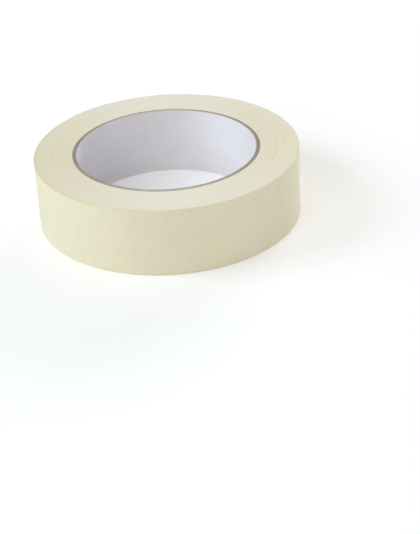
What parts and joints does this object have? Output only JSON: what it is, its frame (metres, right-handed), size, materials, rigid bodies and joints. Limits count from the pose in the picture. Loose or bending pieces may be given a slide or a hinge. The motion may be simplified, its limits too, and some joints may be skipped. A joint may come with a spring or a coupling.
{
  "type": "masking tape roll",
  "caption": "Crepe-paper masking tape wound on a spiral-wound board core, with a free end that peels off the roll",
  "frame": {"origin": "centre of the roll's base, on the axis of the core's bore", "axes": "+Z along the roll's axis, up from the base face; the tail leaves the roll in the +Y half, behind the side that faces -Y"},
  "size_m": [0.1128, 0.1128, 0.0295],
  "materials": {
    "crepe_paper": "cream crepe paper, fine wrinkles across the strip, satin-matte",
    "adhesive": "thin clear-amber natural rubber adhesive, slightly glossy",
    "liner_paper": "smooth white paper, matte",
    "board": "grey-brown recycled board, fibrous cut edge",
    "wrap_paper": "smooth brown paper, matte"
  },
  "bodies": {
    "roll": {"core_liner": "liner_paper", "core_ply_inner": "board", "core_ply_middle": "board", "core_ply_outer": "board", "core_wrap": "wrap_paper", "tape_pack": "crepe_paper"},
    "last_turn": {"last_turn_paper": "crepe_paper", "last_turn_adhesive": "adhesive"},
    "tail_1": {"tail_paper_1": "crepe_paper", "tail_adhesive_1": "adhesive"},
    "tail_2": {"tail_paper_2": "crepe_paper", "tail_adhesive_2": "adhesive"},
    "tail_3": {"tail_paper_3": "crepe_paper", "tail_adhesive_3": "adhesive"},
    "tail_4": {"tail_paper_4": "crepe_paper", "tail_adhesive_4": "adhesive"},
    "tail_5": {"tail_paper_5": "crepe_paper", "tail_adhesive_5": "adhesive"},
    "tail_6": {"tail_paper_6": "crepe_paper", "tail_adhesive_6": "adhesive"},
    "tail_7": {"tail_paper_7": "crepe_paper", "tail_adhesive_7": "adhesive"},
    "tail_8": {"tail_paper_8": "crepe_paper", "tail_adhesive_8": "adhesive"}
  },
  "joints": [
    {"name": "unwind", "type": "hinge", "parent": "roll", "child": "last_turn", "pos_m": [0, 0, 0.01475], "axis": [0, 0, 1], "continuous": true},
    {"name": "peel", "type": "hinge", "parent": "last_turn", "child": "tail_1", "pos_m": [0.0432, 0.03625, 0.01475], "axis": [0, 0, -1], "range_deg": [0, 90]},
    {"name": "straighten", "type": "hinge", "parent": "tail_1", "child": "tail_2", "pos_m": [0.03472, 0.04443, 0.01475], "axis": [0, 0, -1], "range_deg": [0, 12]},
    {"name": "straighten_3", "type": "hinge", "parent": "tail_2", "child": "tail_3", "pos_m": [0.02472, 0.05068, 0.01475], "axis": [0, 0, -1], "range_deg": [0, 12]},
    {"name": "straighten_4", "type": "hinge", "parent": "tail_3", "child": "tail_4", "pos_m": [0.01364, 0.05471, 0.01475], "axis": [0, 0, -1], "range_deg": [0, 12]},
    {"name": "straighten_5", "type": "hinge", "parent": "tail_4", "child": "tail_5", "pos_m": [0.00197, 0.05635, 0.01475], "axis": [0, 0, -1], "range_deg": [0, 12]},
    {"name": "straighten_6", "type": "hinge", "parent": "tail_5", "child": "tail_6", "pos_m": [-0.00979, 0.05553, 0.01475], "axis": [0, 0, -1], "range_deg": [0, 12]},
    {"name": "straighten_7", "type": "hinge", "parent": "tail_6", "child": "tail_7", "pos_m": [-0.02112, 0.05228, 0.01475], "axis": [0, 0, -1], "range_deg": [0, 12]},
    {"name": "straighten_8", "type": "hinge", "parent": "tail_7", "child": "tail_8", "pos_m": [-0.03153, 0.04675, 0.01475], "axis": [0, 0, -1], "range_deg": [0, 12]}
  ],
  "couplings": [
    {"joint": "straighten_3", "follows": "straighten", "ratio": 1},
    {"joint": "straighten_4", "follows": "straighten", "ratio": 1},
    {"joint": "straighten_5", "follows": "straighten", "ratio": 1},
    {"joint": "straighten_6", "follows": "straighten", "ratio": 1},
    {"joint": "straighten_7", "follows": "straighten", "ratio": 1},
    {"joint": "straighten_8", "follows": "straighten", "ratio": 1}
  ]
}
